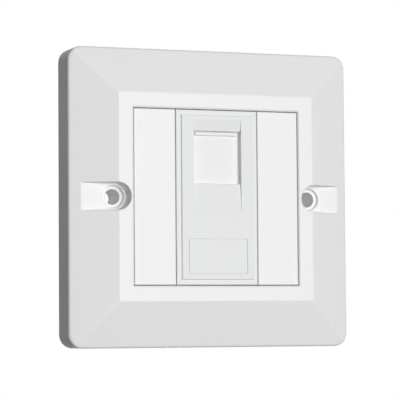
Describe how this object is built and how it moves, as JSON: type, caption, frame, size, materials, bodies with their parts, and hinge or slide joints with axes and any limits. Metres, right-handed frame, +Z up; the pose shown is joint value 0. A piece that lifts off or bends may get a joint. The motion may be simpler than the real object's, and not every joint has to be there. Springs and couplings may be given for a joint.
{
  "type": "ethernet wall socket",
  "caption": "Square bevelled wall plate with blanks and a network socket module whose sprung shutter slides down to let a plug in.",
  "frame": {"origin": "centre of the plate's back, on the wall, half-way between the two fixing holes", "axes": "+X to the right, +Y into the wall, +Z up; the socket faces -Y"},
  "size_m": [0.086, 0.03, 0.086],
  "materials": {
    "plate_white": "satin moulded",
    "module_white": "fine matt moulded",
    "shutter_white": "satin moulded",
    "spring_steel": "drawn wire",
    "jack_black": "moulded",
    "contact_gold": "gold plated",
    "board_green": "solder mask",
    "block_white": "moulded",
    "terminal_tin": "tin plated"
  },
  "bodies": {
    "outlet": {"faceplate": "plate_white", "blank_left": "plate_white", "blank_right": "plate_white", "module_bezel": "module_white", "shutter_spring": "spring_steel", "module_carrier": "module_white", "jack_housing": "jack_black", "contact_comb": "jack_black", "circuit_board": "board_green", "terminal_block_left": "block_white", "terminal_block_right": "block_white", "contact_1": "contact_gold", "contact_2": "contact_gold", "contact_3": "contact_gold", "contact_4": "contact_gold", "contact_5": "contact_gold", "contact_6": "contact_gold", "contact_7": "contact_gold", "contact_8": "contact_gold", "terminal_1": "terminal_tin", "terminal_2": "terminal_tin", "terminal_3": "terminal_tin", "terminal_4": "terminal_tin", "terminal_5": "terminal_tin", "terminal_6": "terminal_tin", "terminal_7": "terminal_tin", "terminal_8": "terminal_tin"},
    "shutter": {"shutter": "shutter_white"}
  },
  "joints": [
    {"name": "shutter_slide", "type": "slide", "parent": "outlet", "child": "shutter", "axis": [0, 0, -1], "range_m": [0, 0.013], "stiffness_N_per_m": 60, "springref_m": -0.008, "deforming": ["shutter_spring"]}
  ]
}
